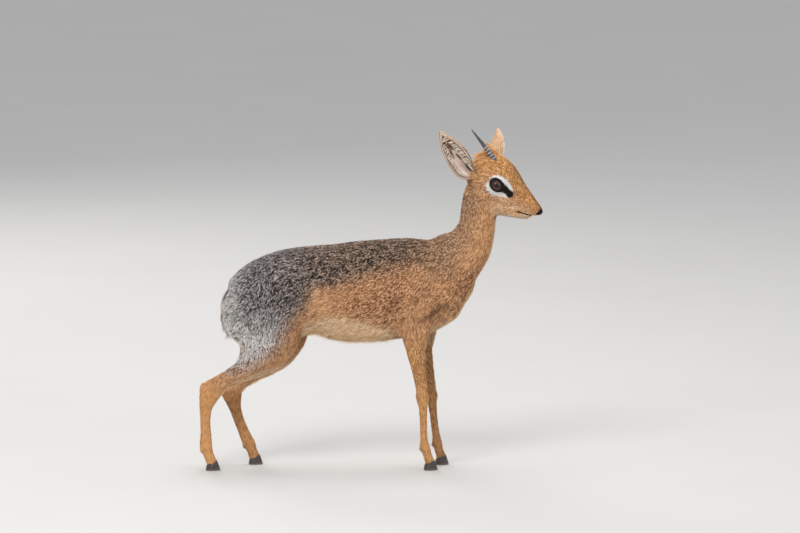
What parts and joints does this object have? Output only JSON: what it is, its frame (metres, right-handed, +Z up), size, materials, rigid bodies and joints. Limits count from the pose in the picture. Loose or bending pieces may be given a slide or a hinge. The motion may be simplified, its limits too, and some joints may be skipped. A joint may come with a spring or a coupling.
{
  "type": "dik-dik antelope model",
  "caption": "Very small antelope buck standing still at life size, head up and turned slightly, with short horns, crest, cupped ears and cloven hooves.",
  "frame": {"origin": "on the floor under the middle of the bounding box", "axes": "+X towards the nose, +Y towards the animal's left side, +Z up"},
  "size_m": [0.582, 0.1254, 0.5806],
  "materials": {
    "grizzled_coat": "short grey-brown grizzled fur",
    "tan_coat": "short orange-tan fur, paler on the cheeks, chin and belly",
    "crest_hair": "long bright tan hair",
    "horn": "smooth dark grey horn, ringed at the base",
    "hoof": "worn dark horn",
    "eye": "wet dark brown eye"
  },
  "bodies": {
    "root": {"torso": "grizzled_coat", "neck": "grizzled_coat", "tail": "grizzled_coat", "thigh_right": "grizzled_coat", "thigh_left": "grizzled_coat", "head": "tan_coat", "ear_right": "tan_coat", "ear_left": "tan_coat", "forearm_right": "tan_coat", "forearm_left": "tan_coat", "cannon_fore_right": "tan_coat", "cannon_fore_left": "tan_coat", "pastern_fore_right": "tan_coat", "pastern_fore_left": "tan_coat", "gaskin_right": "tan_coat", "gaskin_left": "tan_coat", "cannon_hind_right": "tan_coat", "cannon_hind_left": "tan_coat", "pastern_hind_right": "tan_coat", "pastern_hind_left": "tan_coat", "crest": "crest_hair", "horn_right": "horn", "horn_left": "horn", "hoof_fore_right_outer": "hoof", "hoof_fore_right_inner": "hoof", "hoof_fore_left_outer": "hoof", "hoof_fore_left_inner": "hoof", "hoof_hind_right_outer": "hoof", "hoof_hind_right_inner": "hoof", "hoof_hind_left_outer": "hoof", "hoof_hind_left_inner": "hoof", "eye_right": "eye", "eye_left": "eye"}
  },
  "joints": []
}
